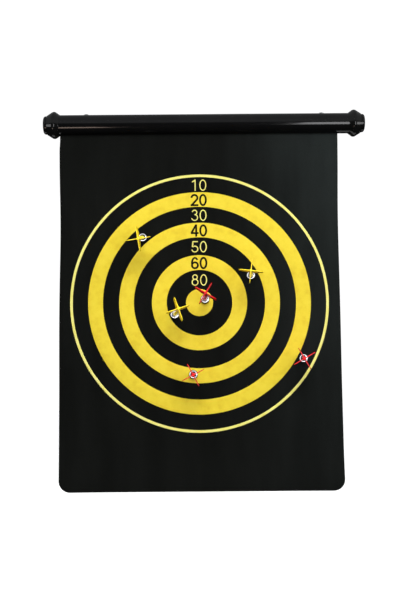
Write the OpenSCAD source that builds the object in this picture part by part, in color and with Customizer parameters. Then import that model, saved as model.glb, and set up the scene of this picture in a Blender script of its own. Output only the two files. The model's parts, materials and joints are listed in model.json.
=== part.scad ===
// Roll-up magnetic dartboard. A flocked magnetic mat hangs from a slotted tube with two
// turned end caps and two riveted hanging eyes, and holds six magnetic darts.
// The origin is midway between the two hanging eyes, on the rear face of their plates.
// +Z is up and the dial faces -Y. Lengths are in millimetres and angles in degrees.

/* [Header tube] */
// Overall width, from end cap to end cap
overall_w = 370; // [360:1:420]
// Outer diameter of the tube
tube_d = 23.2; // [22:0.1:23.6]
// Wall thickness of the tube
tube_wall = 1.6; // [1.2:0.1:1.8]
// Width of the slot along the tube's underside
slot_w = 3.4; // [3:0.1:3.8]

/* [End caps] */
// Length of an end cap outside the bare tube
cap_len = 19.1; // [18.6:0.1:19.6]
// Distance from the cap's outer end to the crest of its bead
cap_crest_at = 13; // [12:0.1:13.4]
// Radius at the crest of the bead
cap_crest_r = 15.4; // [14.8:0.1:15.8]
// Radius of the rounding along the crest
cap_crest_round = 4; // [3:0.1:4.5]
// Slope of the bead's two flanks
cap_flank_angle = 31.8; // [30:0.1:33]
// Radius of the boss on the cap's outer end
cap_boss_r = 10.4; // [10:0.1:10.8]
// Depth of the socket that takes the tube's end
cap_socket = 9.6; // [8:0.1:10]

/* [Hanging eyes] */
// Distance between the two eyes
eye_spacing = 274; // [200:1:280]
// Diameter of the hole for a screw or a nail
eye_hole_d = 5; // [4:0.1:5.5]
// Width of an eye's plate
eye_plate_w = 10; // [9:0.5:14]
// Thickness of an eye's plate
eye_plate_t = 1.2; // [1:0.1:2]
// Height of an eye's hole above the tube's axis
eye_rise = 11.2; // [10:0.1:12]
// Diameter of a rivet's shank
rivet_d = 3; // [2.5:0.1:3.5]

/* [Mat] */
// Width of the mat
mat_w = 319; // [280:1:320]
// Drop from the tube's axis to the mat's bottom edge
mat_drop = 418; // [390:1:450]
// Radius of the mat's two bottom corners
mat_corner_r = 13; // [8:1:20]
// Thickness of the magnetic core
core_t = 1; // [0.8:0.1:1.2]
// Thickness of the flocked skin on each face
flock_t = 0.3; // [0.2:0.05:0.4]
// Gap between the mat's left edge and the left end cap
mat_gap = 0.35; // [0.3:0.05:1]
// Diameter of the rod in the mat's hem
rod_d = 5; // [4.5:0.1:5.2]
// Wall thickness of the hem round the rod
hem_wall = 1.6; // [1.4:0.1:1.8]

/* [Dial] */
// Drop from the tube's axis to the centre of the dial
dial_drop = 205.5; // [195:0.5:215]
// Distance from the mat's centreline to the centre of the dial
dial_shift = -0.6; // [-3:0.1:3]
// Radius of the bullseye
bullseye_r = 15.7; // [14:0.1:17]
// Inner radii of the three yellow bands
band_inner_r = [37, 74.3, 109.5];
// Width of a yellow band
band_w = 17.4; // [16:0.1:18]
// Outer radius of the thin outline
outline_r = 147.3; // [145:0.1:150]
// Width of the thin outline
outline_w = 3.5; // [2:0.1:5]
// Height of the printed layer above the flock
print_t = 0.2; // [0.1:0.05:0.3]

/* [Numerals] */
// Height of a numeral
digit_h = 13.5; // [12:0.1:14]
// Width of a numeral
digit_w = 8.4; // [7.5:0.1:9]
// Gap between the two numerals of a pair
digit_gap = 1.3; // [1:0.1:2.5]
// Width of a numeral's stroke
digit_stroke = 1.7; // [1.4:0.1:2.2]
// Distance that the numerals sit below the middle of their band
digit_sink = 0.6; // [0:0.1:1]

/* [Darts] */
// Length of a dart
dart_len = 43; // [41:0.5:46]
// Radius of the magnet
magnet_r = 4.1; // [3.8:0.1:4.2]
// Thickness of the magnet
magnet_t = 3; // [2.5:0.1:3.4]
// Radius of the magnet's domed face
magnet_dome_r = 20; // [18:1:30]
// Outer radius of the steel cup
cup_r = 5; // [4.8:0.1:5.4]
// Radius of the rounded shoulder of the cup
cup_shoulder_r = 2; // [1:0.1:2.2]
// Radius of the barrel
barrel_r = 2.2; // [1.8:0.1:2.4]
// Distance between the tips of two opposite fins
fin_span = 27; // [24:0.5:29]
// Thickness of a fin
fin_t = 1; // [0.8:0.1:1.4]
// Gap between a dart's magnet and the dial
dart_gap = 0.3; // [0.3:0.05:0.6]

/* [Hidden] */
$fn = 96;
DART_PARTS = ["flight", "cup", "magnet"];
// Each dart: right of and above the dial's centre, tail up, tail to the right, roll, colour
DARTS = [
    [-65.4, 71.7, -9.3, -4.5, 8.8, "gold"],
    [57.7, 31.3, 3, -3, -7, "gold"],
    [-25.8, -11.4, 7.9, 8, 19.5, "gold"],
    [6.5, 5.8, 7, 0.8, -31.5, "red"],
    [-7.5, -81.2, 0.5, 0, 27.5, "red"],
    [115.6, -64, 0, -5, 30, "red"]
];

slack = 0.01;
tube_r = tube_d / 2;
tube_bore_r = tube_r - tube_wall;
axis_y = -eye_plate_t - tube_r;
axis_z = -eye_rise;
tube_len = overall_w - 2 * (cap_len - cap_socket);
cap_face_x = overall_w / 2 - cap_len;

cap_lip_r = tube_r + 0.5;
cap_boss_len = 4.4;
cap_boss_round = 2.6;
cap_dome_r = 27;
cap_groove_w = 0.7;
cap_groove_r = 9.7;
cap_end_wall = 3;
cap_plug_wall = 1.5;

plate_r = eye_plate_w / 2;
plate_below_axis = 5;
rivet_head_r = 3;
rivet_head_t = 0.8;
rivet_tail_r = 2.5;
// The tail is formed this far inside the curved wall, so that its rim just meets the wall
rivet_tail_at = eye_plate_t + tube_r - sqrt(pow(tube_bore_r, 2) - pow(rivet_tail_r, 2)) + 0.05;

mat_t = core_t + 2 * flock_t;
mat_x = -cap_face_x + mat_gap + mat_w / 2;
mat_bottom_z = axis_z - mat_drop;
rod_clearance = 0.05;
rod_end_gap = 3;
hem_r = rod_d / 2 + rod_clearance + hem_wall;
hem_gap = 0.3;
// The hem hangs on the two lips of the slot
slot_lip_z = sqrt(pow(tube_bore_r, 2) - pow(slot_w / 2, 2));
rod_z = axis_z - slot_lip_z + sqrt(pow(hem_r, 2) - pow(slot_w / 2, 2)) + hem_gap;
face_y = axis_y - mat_t / 2;

dial_x = mat_x + dial_shift;
dial_z = axis_z - dial_drop;
print_y = face_y - print_t;

magnet_proud = 0.7;
cup_back = 5.2;
peg_r = 1.5;
fin_root_at = 25;
fin_tip_r = 2.6;
fin_lead_at = 34.2;
fin_tip_at = 39.6;
spine_r = 1.5;

// ---- Header ----

// Lays a shape made along +Z along +X, on the tube's axis
module on_tube_axis() {
    translate([0, axis_y, axis_z]) rotate([0, 90, 0]) children();
}

module rivet_bore(x) {
    translate([x, slack, axis_z])
        rotate([90, 0, 0]) cylinder(h = tube_r, d = rivet_d);
}

module header_tube() {
    color("#17181a") difference() {
        on_tube_axis() cylinder(h = tube_len, r = tube_r, center = true);
        on_tube_axis() cylinder(h = tube_len + 2, r = tube_bore_r, center = true);
        translate([0, axis_y, axis_z - tube_r])
            cube([tube_len + 2, slot_w, tube_r], center = true);
        for (side = [-1, 1]) rivet_bore(side * eye_spacing / 2);
    }
}

// Half outline of an end cap: x is the radius and y the distance from its outer end
module cap_outline() {
    tangent = cap_crest_round * sin(cap_flank_angle);
    flank_r = cap_crest_r - cap_crest_round + cap_crest_round * cos(cap_flank_angle);
    foot_r = flank_r - (cap_crest_at - tangent - cap_boss_len - cap_groove_w) * tan(cap_flank_angle);
    bead_at = cap_boss_len + cap_groove_w;
    intersection() {
        translate([0, cap_dome_r]) circle(r = cap_dome_r);
        square([cap_boss_r - cap_boss_round, cap_boss_len]);
    }
    translate([cap_boss_r - cap_boss_round, cap_boss_round + 0.8]) circle(r = cap_boss_round);
    translate([0, cap_boss_round + 0.8]) square([cap_boss_r, cap_boss_len - cap_boss_round - 0.8]);
    translate([0, cap_boss_len - 1]) square([cap_groove_r, cap_groove_w + 2]);
    polygon([
        [0, bead_at],
        [foot_r, bead_at],
        [flank_r, cap_crest_at - tangent],
        [flank_r, cap_crest_at + tangent],
        [cap_lip_r, cap_len],
        [0, cap_len]
    ]);
    translate([cap_crest_r - cap_crest_round, cap_crest_at]) circle(r = cap_crest_round);
}

// An end cap with its outer end at the origin, opening along +Z
module end_cap() {
    socket_at = cap_len - cap_socket;
    rotate_extrude() difference() {
        intersection() {
            cap_outline();
            square([2 * cap_crest_r, cap_len]);
        }
        translate([tube_bore_r, socket_at]) square([tube_wall, cap_socket + 1]);
        translate([0, cap_end_wall]) square([tube_bore_r - cap_plug_wall, cap_len]);
    }
}

module left_end_cap() {
    color("#141516") translate([-overall_w / 2, axis_y, axis_z]) rotate([0, 90, 0]) end_cap();
}

module right_end_cap() {
    color("#141516") translate([overall_w / 2, axis_y, axis_z]) rotate([0, -90, 0]) end_cap();
}

module hanging_eye(x) {
    color("silver") translate([x, 0, 0]) rotate([90, 0, 0])
        linear_extrude(height = eye_plate_t) difference() {
            union() {
                circle(r = plate_r);
                translate([-plate_r, -eye_rise - plate_below_axis + plate_r])
                    square([eye_plate_w, eye_rise + plate_below_axis - plate_r]);
                translate([0, -eye_rise - plate_below_axis + plate_r]) circle(r = plate_r);
            }
            circle(d = eye_hole_d);
            translate([0, -eye_rise]) circle(d = rivet_d);
        }
}

module eye_rivet(x) {
    color("silver") translate([x, 0, axis_z]) rotate([90, 0, 0]) {
        translate([0, 0, -rivet_head_t]) cylinder(h = rivet_head_t, r = rivet_head_r);
        cylinder(h = rivet_tail_at, d = rivet_d);
        translate([0, 0, rivet_tail_at]) cylinder(h = rivet_head_t, r = rivet_tail_r);
    }
}

// ---- Mat ----

// Lays a plane outline upright, its height along +Z, as a layer whose rear face is at y
module upright(x, y, thickness) {
    translate([x, y, 0]) rotate([90, 0, 0]) linear_extrude(height = thickness) children();
}

// Outline of the mat from its bottom edge up to a height, with two rounded bottom corners
module mat_outline(top_z) {
    height = top_z - mat_bottom_z;
    translate([0, mat_bottom_z]) {
        translate([-mat_w / 2, mat_corner_r]) square([mat_w, height - mat_corner_r]);
        translate([-mat_w / 2 + mat_corner_r, 0]) square([mat_w - 2 * mat_corner_r, mat_corner_r]);
        for (side = [-1, 1])
            translate([side * (mat_w / 2 - mat_corner_r), mat_corner_r]) circle(r = mat_corner_r);
    }
}

module hem_rod() {
    color("#3b3d40") translate([mat_x, axis_y, rod_z]) rotate([0, 90, 0])
        cylinder(h = mat_w - 2 * rod_end_gap, d = rod_d, center = true);
}

module mat_core() {
    color("#2a2b2d") difference() {
        union() {
            upright(mat_x, axis_y + core_t / 2, core_t) mat_outline(rod_z);
            translate([mat_x, axis_y, rod_z]) rotate([0, 90, 0])
                cylinder(h = mat_w, r = hem_r, center = true);
        }
        translate([mat_x, axis_y, rod_z]) rotate([0, 90, 0])
            cylinder(h = mat_w + 2, r = rod_d / 2 + rod_clearance, center = true);
    }
}

module front_flock() {
    color("#1d201f") upright(mat_x, axis_y - core_t / 2, flock_t) mat_outline(rod_z - hem_r);
}

module back_flock() {
    color("#1d201f") upright(mat_x, axis_y + core_t / 2 + flock_t, flock_t)
        mat_outline(rod_z - hem_r);
}

// ---- Dial ----

module ring2d(outer, width) {
    difference() {
        circle(r = outer);
        circle(r = outer - width);
    }
}

// An upright ellipse w wide and h high, from the origin
module oval2d(w, h) {
    polygon([for (a = [0:7.5:352.5]) [w / 2 + w / 2 * cos(a), h / 2 + h / 2 * sin(a)]]);
}

// A stroked oval, w wide and h high, from the origin
module loop2d(w, h) {
    difference() {
        oval2d(w, h);
        translate([digit_stroke, digit_stroke]) oval2d(w - 2 * digit_stroke, h - 2 * digit_stroke);
    }
}

// A straight stroke between two points
module stroke2d(from, to) {
    run = to - from;
    side = [-run[1], run[0]] / norm(run) * digit_stroke / 2;
    polygon([from + side, from - side, to - side, to + side]);
}

// The round lower bowl and the smaller upper bowl that 3, 5, 6 and 8 share
lower_r = digit_w / 2;
upper_r = (digit_h + digit_stroke) / 2 - lower_r;

module lower_bowl() {
    translate([lower_r, lower_r]) ring2d(lower_r, digit_stroke);
}

module upper_bowl() {
    translate([lower_r, digit_h - upper_r]) ring2d(upper_r, digit_stroke);
}

module digit_1() {
    stem_x = 0.5 * digit_w;
    translate([stem_x, 0]) square([digit_stroke, digit_h]);
    polygon([
        [stem_x + digit_stroke, digit_h],
        [stem_x + 0.3 * digit_stroke, digit_h],
        [0.14 * digit_w, 0.83 * digit_h],
        [0.14 * digit_w, 0.83 * digit_h - digit_stroke],
        [stem_x + digit_stroke, 0.83 * digit_h]
    ]);
}

module digit_2() {
    turn = 38;
    mid_r = lower_r - digit_stroke / 2;
    hub = [lower_r, digit_h - lower_r];
    difference() {
        translate(hub) ring2d(lower_r, digit_stroke);
        translate([-1, 0]) square([lower_r + 1, hub[1] + 0.3]);
        polygon([hub, hub + 2 * lower_r * [cos(turn), -sin(turn)], [2 * digit_w, 0], [lower_r, 0]]);
    }
    knee = hub + mid_r * [cos(turn), -sin(turn)];
    translate(knee) circle(d = digit_stroke);
    stroke2d(knee, [digit_stroke * 0.75, digit_stroke * 0.7]);
    square([digit_w, digit_stroke]);
}

module digit_3() {
    difference() {
        union() {
            lower_bowl();
            upper_bowl();
        }
        translate([-1, lower_r - 0.4]) square([0.45 * digit_w + 1, digit_h - upper_r - lower_r + 0.6]);
    }
}

module digit_4() {
    bar_z = 0.22 * digit_h;
    stem_x = 0.6 * digit_w;
    difference() {
        polygon([[0, bar_z], [stem_x, bar_z], [stem_x, digit_h], [0, bar_z + 1.2 * digit_stroke]]);
        polygon([
            [1.2 * digit_stroke, bar_z + digit_stroke],
            [stem_x, bar_z + digit_stroke],
            [stem_x, digit_h - 1.75 * digit_stroke]
        ]);
    }
    translate([stem_x, 0]) square([digit_stroke, digit_h]);
    translate([stem_x, bar_z]) square([digit_w - stem_x, digit_stroke]);
}

module digit_5() {
    knee_x = 0.36 * digit_w;
    knee_z = 2 * lower_r - 0.2;
    difference() {
        lower_bowl();
        translate([-1, lower_r - 0.4]) square([knee_x + 1, 2 * lower_r]);
    }
    polygon([
        [0.16 * digit_w, digit_h],
        [0.16 * digit_w + digit_stroke, digit_h],
        [0.09 * digit_w + 1.1 * digit_stroke, 0.56 * digit_h],
        [knee_x, knee_z],
        [knee_x, knee_z - digit_stroke],
        [0.05 * digit_w, 0.47 * digit_h]
    ]);
    translate([0.16 * digit_w, digit_h - digit_stroke]) square([0.78 * digit_w, digit_stroke]);
}

module digit_6() {
    lower_bowl();
    intersection() {
        loop2d(digit_w, digit_h);
        union() {
            translate([0, lower_r + digit_stroke / 2]) square([lower_r, digit_h]);
            translate([0, digit_h - 0.7 * lower_r]) square([digit_w, lower_r]);
        }
    }
}

module digit(n) {
    if (n == 0) loop2d(digit_w, digit_h);
    if (n == 1) digit_1();
    if (n == 2) digit_2();
    if (n == 3) digit_3();
    if (n == 4) digit_4();
    if (n == 5) digit_5();
    if (n == 6) digit_6();
    if (n == 8) {
        lower_bowl();
        upper_bowl();
    }
}

// A score, such as 20, centred on the dial's upright radius at a distance from its centre
module score(tens, middle_r) {
    translate([-digit_w - digit_gap / 2, middle_r - digit_sink - digit_h / 2]) digit(tens);
    translate([digit_gap / 2, middle_r - digit_sink - digit_h / 2]) digit(0);
}

module dial_print() {
    gap_outer_r = [band_inner_r[0], band_inner_r[1], band_inner_r[2], outline_r - outline_w];
    gap_inner_r = [bullseye_r, for (r = band_inner_r) r + band_w];
    gap_tens = [8, 5, 3, 1];
    band_tens = [6, 4, 2];
    color("#f8dd3b") upright(dial_x, face_y, print_t) translate([0, dial_z]) {
        circle(r = bullseye_r);
        ring2d(outline_r, outline_w);
        for (i = [0:2]) difference() {
            ring2d(band_inner_r[i] + band_w, band_w);
            score(band_tens[i], band_inner_r[i] + band_w / 2);
        }
        for (i = [0:3]) score(gap_tens[i], (gap_inner_r[i] + gap_outer_r[i]) / 2);
    }
}

// ---- Darts ----

// Puts a dart made along +Z, with its nose at the origin, against the dial. It leans on its
// domed magnet: it turns about the dome's centre, so the magnet's gap to the dial stays the same.
module on_dial(dart) {
    translate([dial_x + dart[0], print_y - dart_gap - magnet_dome_r, dial_z + dart[1]])
        rotate([-dart[2], 0, 0]) rotate([0, 0, dart[3]])
            rotate([90, 0, 0]) translate([0, 0, -magnet_dome_r]) rotate([0, 0, dart[4]])
                children();
}

module dart_magnet() {
    intersection() {
        cylinder(h = magnet_t, r = magnet_r);
        translate([0, 0, magnet_dome_r]) sphere(r = magnet_dome_r);
    }
}

module dart_cup() {
    rotate_extrude() difference() {
        union() {
            translate([0, magnet_proud]) square([cup_r, cup_back - cup_shoulder_r - magnet_proud]);
            translate([0, magnet_proud]) square([cup_r - cup_shoulder_r, cup_back - magnet_proud]);
            translate([cup_r - cup_shoulder_r, cup_back - cup_shoulder_r]) circle(r = cup_shoulder_r);
        }
        square([magnet_r, magnet_t]);
        square([peg_r, cup_back + 1]);
    }
}

// A rounded corner at a fin's outer edge, turning from one angle to another
function fin_corner(at, from, to) = [
    for (a = [from:15:to]) [fin_span / 2 - fin_tip_r + fin_tip_r * cos(a), at + fin_tip_r * sin(a)]
];

// Outline of one fin, from the dart's axis outwards: it leans back and ends in a blunt tip
function fin_outline() = concat(
    [[0, fin_root_at]],
    fin_corner(fin_lead_at, -60, 0),
    fin_corner(fin_tip_at, 0, 105),
    [[spine_r, dart_len], [0, dart_len]]
);

module dart_flight() {
    translate([0, 0, magnet_t]) cylinder(h = cup_back - magnet_t + slack, r = peg_r);
    translate([0, 0, cup_back]) cylinder(h = fin_root_at - cup_back, r = barrel_r);
    translate([0, 0, fin_root_at]) cylinder(h = 5, r1 = barrel_r, r2 = spine_r);
    translate([0, 0, fin_root_at]) cylinder(h = dart_len - fin_root_at, r = spine_r);
    for (turn = [0:90:270])
        rotate([0, 0, turn]) rotate([90, 0, 0])
            linear_extrude(height = fin_t, center = true) polygon(fin_outline());
}

module dart_part(dart, part) {
    on_dial(dart) {
        if (part == "flight") color(dart[5]) dart_flight();
        if (part == "cup") color("lightgrey") dart_cup();
        if (part == "magnet") color("dimgrey") dart_magnet();
    }
}

header_tube();
left_end_cap();
right_end_cap();
hanging_eye(-eye_spacing / 2);  // left_hanging_eye
hanging_eye(eye_spacing / 2);  // right_hanging_eye
eye_rivet(-eye_spacing / 2);  // left_eye_rivet
eye_rivet(eye_spacing / 2);  // right_eye_rivet
hem_rod();
mat_core();
front_flock();
back_flock();
dial_print();
for (i = [0:len(DARTS) - 1]) for (p = DART_PARTS)
    dart_part(DARTS[i], p);
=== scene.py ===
"""Looks for the roll-up magnetic dartboard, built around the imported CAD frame.

Lengths are written in millimetres and multiplied by MM. X runs to the right, the dial faces -Y
and Z is up. Places come from the CAD nodes' boxes and from the joints' axes.
"""

import json
import math
import random

import bmesh
import bpy
import numpy as np
from mathutils import Matrix, Vector

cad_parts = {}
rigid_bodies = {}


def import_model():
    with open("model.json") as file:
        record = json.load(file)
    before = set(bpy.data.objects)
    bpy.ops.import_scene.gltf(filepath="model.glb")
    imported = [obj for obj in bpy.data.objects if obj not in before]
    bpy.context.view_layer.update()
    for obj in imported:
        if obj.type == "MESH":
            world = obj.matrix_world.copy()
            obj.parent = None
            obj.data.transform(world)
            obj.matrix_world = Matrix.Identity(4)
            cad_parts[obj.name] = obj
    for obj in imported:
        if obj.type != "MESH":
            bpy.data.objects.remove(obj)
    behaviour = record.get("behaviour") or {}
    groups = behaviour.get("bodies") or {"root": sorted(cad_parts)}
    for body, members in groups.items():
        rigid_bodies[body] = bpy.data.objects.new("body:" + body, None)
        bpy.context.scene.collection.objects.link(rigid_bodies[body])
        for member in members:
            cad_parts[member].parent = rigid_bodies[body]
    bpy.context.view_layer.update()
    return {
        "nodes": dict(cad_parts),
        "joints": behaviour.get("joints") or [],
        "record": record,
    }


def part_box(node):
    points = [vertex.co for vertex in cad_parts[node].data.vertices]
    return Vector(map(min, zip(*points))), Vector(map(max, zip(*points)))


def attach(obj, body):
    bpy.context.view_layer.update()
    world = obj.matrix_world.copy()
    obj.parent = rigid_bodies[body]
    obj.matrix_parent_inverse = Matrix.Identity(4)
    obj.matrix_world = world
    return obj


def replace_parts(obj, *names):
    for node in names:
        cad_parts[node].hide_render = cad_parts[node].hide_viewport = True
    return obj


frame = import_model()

MM = 0.001
TAU = 2 * math.pi

# ---- Places taken from the frame ----

tube_low, tube_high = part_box("header_tube")
AXIS = (tube_low + tube_high) / 2
TUBE_R = (tube_high.y - tube_low.y) / 2

flock_low, flock_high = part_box("front_flock")
back_low, back_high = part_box("back_flock")
core_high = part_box("mat_core")[1]
rod_low, rod_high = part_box("hem_rod")
MAT_X = (flock_low.x + flock_high.x) / 2
MAT_W = flock_high.x - flock_low.x
MAT_BOTTOM = flock_low.z
MAT_TOP = flock_high.z
FACE_Y = flock_low.y
FLOCK_T = flock_high.y - flock_low.y
CORE_T = back_low.y - flock_high.y
ROD_Z = (rod_low.z + rod_high.z) / 2
ROD_R = (rod_high.z - rod_low.z) / 2
HEM_R = core_high.z - ROD_Z

print_low, print_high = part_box("dial_print")
DIAL_X = (print_low.x + print_high.x) / 2
DIAL_Z = (print_low.z + print_high.z) / 2
PRINT_Y = print_low.y
PRINT_T = print_high.y - print_low.y

# ---- Driving sizes of the detail. Those that the CAD has too are the same there ----

TUBE_WALL = 1.6 * MM
TUBE_BORE_R = TUBE_R - TUBE_WALL
SLOT_W = 3.4 * MM

# The caps: distances from the outer end, and the slope of the bead's flanks
CAP_LEN = 19.1 * MM
CAP_SOCKET = 9.6 * MM
CAP_CREST_AT = 13 * MM
CAP_CREST_R = 15.4 * MM
CAP_CREST_ROUND = 4 * MM
CAP_FLANK = math.radians(31.8)
CAP_BOSS_R = 10.4 * MM

# The mat's foot: its corner rounding, and how far it curls towards the viewer
CORNER_R = 13 * MM
BOTTOM_CURL = 2.2 * MM
CORNER_CURL = 1.3 * MM
FOOT_CURL_H = 62 * MM

# Shallow waves left by rolling the mat up. They grow in between two distances below the slot
ROLL_WAVE = 0.3 * MM
ROLL_PITCH = 112 * MM
SIDE_WAVE = 0.5 * MM
SIDE_PITCH = 165 * MM
WAVES_FROM = 12 * MM
WAVES_FULL = 70 * MM

# How far the cut edges stand out, and how far they draw in at the waist. The waist's place and
# length are shares of the drop
RIGHT_SPREAD = 2.1 * MM
RIGHT_WAIST = 1.1 * MM
LEFT_SPREAD = 0.7 * MM
LEFT_WAIST = 1.3 * MM
WAIST_AT = 0.28
WAIST_LEN = 0.15

# The line pressed into the pile inside the edge, and the pile that thins out at the edge
PRESS_AT = 1.7 * MM
PRESS_W = 0.5 * MM
PRESS_DEPTH = 0.16 * MM
EDGE_THIN = 0.2 * MM
EDGE_THIN_W = 0.5 * MM

# A magnet holds the mat flat and this far forward, and its hold fades between two distances
MAGNET_PULL = 0.15 * MM
PULL_FULL = 6 * MM
PULL_END = 26 * MM

# The print: how far its edges draw in, how they are rounded, and how finely it is cut up
INK_SHRINK = 0.27 * MM
INK_ROUND = 0.06 * MM
INK_RAGGED = 0.05 * MM
INK_STEP = 1.1 * MM
INK_GRID = 9 * MM

# The darts, with distances from the nose
MAGNET_R = 4.1 * MM
MAGNET_T = 3 * MM
MAGNET_DOME_R = 20 * MM
CUP_R = 5 * MM
CUP_FRONT = 0.7 * MM
CUP_BACK = 5.2 * MM
CUP_SHOULDER = 2 * MM
BARREL_R = 2.2 * MM
FIN_ROOT = 25 * MM
FIN_LEAD_AT = 34.2 * MM
FIN_T = 1 * MM
FIN_TIP_R = 2.6 * MM
FIN_TIP_AT = 39.6 * MM
FIN_SPAN = 27 * MM
DART_LEN = 43 * MM
SPINE_R = 1.5 * MM


# ---- Mesh helpers ----

def new_piece(name, mesh, body, made, smooth_angle=40):
    """Links a mesh as a piece that rides on a body, shaded smooth below an angle."""
    piece = bpy.data.objects.new(name, mesh)
    bpy.context.scene.collection.objects.link(piece)
    for polygon in mesh.polygons:
        polygon.use_smooth = True
    mesh.set_sharp_from_angle(angle=math.radians(smooth_angle))
    mesh.materials.append(made)
    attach(piece, body)
    return piece


def mesh_from(name, points, faces, outward=True):
    """A checked mesh from points and faces. The faces of a closed one are turned outwards."""
    mesh = bpy.data.meshes.new(name)
    mesh.from_pydata([tuple(p) for p in points], [], faces)
    mesh.validate()
    mesh.update()
    if outward:
        work = bmesh.new()
        work.from_mesh(mesh)
        bmesh.ops.recalc_face_normals(work, faces=work.faces)
        work.to_mesh(mesh)
        work.free()
    return mesh


def lathe(profile, steps=96, closed=False):
    """Turns a profile of (radius, along) about +Z. Ends with zero radius become poles."""
    points, faces, rows = [], [], []
    for radius, along in profile:
        if radius < 1e-9:
            rows.append([len(points)])
            points.append((0, 0, along))
        else:
            rows.append(range(len(points), len(points) + steps))
            for i in range(steps):
                angle = TAU * i / steps
                points.append((radius * math.cos(angle), radius * math.sin(angle), along))
    pairs = list(zip(rows, rows[1:]))
    if closed:
        pairs.append((rows[-1], rows[0]))
    for low, high in pairs:
        for i in range(steps):
            j = (i + 1) % steps
            if len(low) == 1:
                faces.append((low[0], high[j], high[i]))
            elif len(high) == 1:
                faces.append((low[i], low[j], high[0]))
            else:
                faces.append((low[i], low[j], high[j], high[i]))
    return points, faces


def dome(sphere_r, edge_r, steps=8):
    """Profile points of a dome, from its pole at zero out to a radius."""
    points = []
    for k in range(steps + 1):
        radius = edge_r * k / steps
        points.append((radius, sphere_r - math.sqrt(sphere_r**2 - radius**2)))
    return points


def arc(centre, radius, start, end, steps):
    """Points of an arc in the profile plane, with its angles in degrees."""
    return [
        (
            centre[0] + radius * math.cos(math.radians(start + (end - start) * i / steps)),
            centre[1] + radius * math.sin(math.radians(start + (end - start) * i / steps)),
        )
        for i in range(steps + 1)
    ]


def join_parts(parts):
    """Joins (points, faces) parts into one."""
    points, faces = [], []
    for part_points, part_faces in parts:
        start = len(points)
        points += list(part_points)
        faces += [tuple(start + i for i in face) for face in part_faces]
    return points, faces


def tube_walls(rings, size):
    """Faces between rings of size points each, laid one after another."""
    faces = []
    for k in range(rings - 1):
        for i in range(size):
            j = (i + 1) % size
            faces.append((k * size + i, k * size + j, (k + 1) * size + j, (k + 1) * size + i))
    return faces


# ---- Materials ----

def material(name, colour, roughness, **sockets):
    """A Principled material. The sockets are set by name, with _ for a space."""
    made = bpy.data.materials.new(name)
    made.use_nodes = True
    shader = made.node_tree.nodes["Principled BSDF"]
    shader.inputs["Base Color"].default_value = (*colour, 1)
    shader.inputs["Roughness"].default_value = roughness
    for key, value in sockets.items():
        shader.inputs[key.replace("_", " ")].default_value = value
    return made


def add_node(made, kind, **inputs):
    """Adds a node. Each input, named with _ for a space, is a value or another node's output."""
    node = made.node_tree.nodes.new(kind)
    for name, value in inputs.items():
        socket = node.inputs[name.replace("_", " ")]
        if isinstance(value, bpy.types.NodeSocket):
            made.node_tree.links.new(value, socket)
        else:
            socket.default_value = value
    return node


def coordinates(made, scale=(1, 1, 1)):
    """Object coordinates, stretched by a scale."""
    place = add_node(made, "ShaderNodeTexCoord").outputs["Object"]
    return add_node(made, "ShaderNodeMapping", Vector=place, Scale=scale).outputs["Vector"]


def noise(made, vector, scale, detail=3, roughness=0.55):
    """Noise from 0 to 1. A larger scale is finer."""
    texture = add_node(made, "ShaderNodeTexNoise", Vector=vector, Scale=scale, Detail=detail,
                       Roughness=roughness)
    return texture.outputs["Fac"]


def ramp(made, factor, stops):
    """A colour ramp. Each stop is (position, colour)."""
    node = add_node(made, "ShaderNodeValToRGB", Fac=factor)
    elements = node.color_ramp.elements
    while len(elements) < len(stops):
        elements.new(0.5)
    for element, (position, colour) in zip(elements, stops):
        element.position = position
        element.color = (*colour, 1)
    return node.outputs["Color"]


def grey_range(made, factor, low, high, start=0.3, end=0.7):
    """Maps a factor to a number from low to high."""
    node = add_node(made, "ShaderNodeMapRange", Value=factor, From_Min=start, From_Max=end,
                    To_Min=low, To_Max=high)
    return node.outputs["Result"]


def mix_colour(made, factor, first, second, blend="MIX"):
    """Mixes two colours. Each input is a number, a colour or another node's output."""
    node = add_node(made, "ShaderNodeMix")
    node.data_type = "RGBA"
    node.blend_type = blend
    for value, name in ((factor, "Factor"), (first, "A"), (second, "B")):
        socket = next(
            s for s in node.inputs
            if s.name == name and s.type == ("VALUE" if name == "Factor" else "RGBA")
        )
        if isinstance(value, (int, float)):
            socket.default_value = value
        elif isinstance(value, tuple):
            socket.default_value = (*value, 1)
        else:
            made.node_tree.links.new(value, socket)
    return next(s for s in node.outputs if s.type == "RGBA")


def to_shader(made, output, socket):
    """Joins an output to one of the shader's sockets."""
    made.node_tree.links.new(output, made.node_tree.nodes["Principled BSDF"].inputs[socket])


def add_bump(made, height, strength, distance):
    """Adds a bump to the shader, on top of one that is already there."""
    bump = add_node(made, "ShaderNodeBump", Strength=strength, Distance=distance, Height=height)
    for link in made.node_tree.nodes["Principled BSDF"].inputs["Normal"].links:
        made.node_tree.links.new(link.from_socket, bump.inputs["Normal"])
    to_shader(made, bump.outputs["Normal"], "Normal")


def tint(made, factor, stops):
    """Colours the surface by a ramp."""
    to_shader(made, ramp(made, factor, stops), "Base Color")


def gloss(made, factor, low, high):
    """Lets the roughness vary from low to high."""
    to_shader(made, grey_range(made, factor, low, high), "Roughness")


def tube_plastic():
    """Glossy extruded black: long draw lines, slight waves and a little handling haze."""
    made = material("tube_plastic", (0.005, 0.005, 0.0055), 0.16, Specular_IOR_Level=0.5)
    along = coordinates(made, (0.02, 1, 1))
    gloss(made, noise(made, along, 900, 4), 0.08, 0.13)
    haze = noise(made, coordinates(made), 26, 4)
    tint(made, haze, [(0.3, (0.0026, 0.0027, 0.0029)), (0.7, (0.0046, 0.0046, 0.0048))])
    add_bump(made, noise(made, along, 1400, 3), 0.10, 0.02 * MM)
    add_bump(made, noise(made, coordinates(made, (0.16, 1, 1)), 60, 2), 0.22, 0.12 * MM)
    return made


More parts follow.
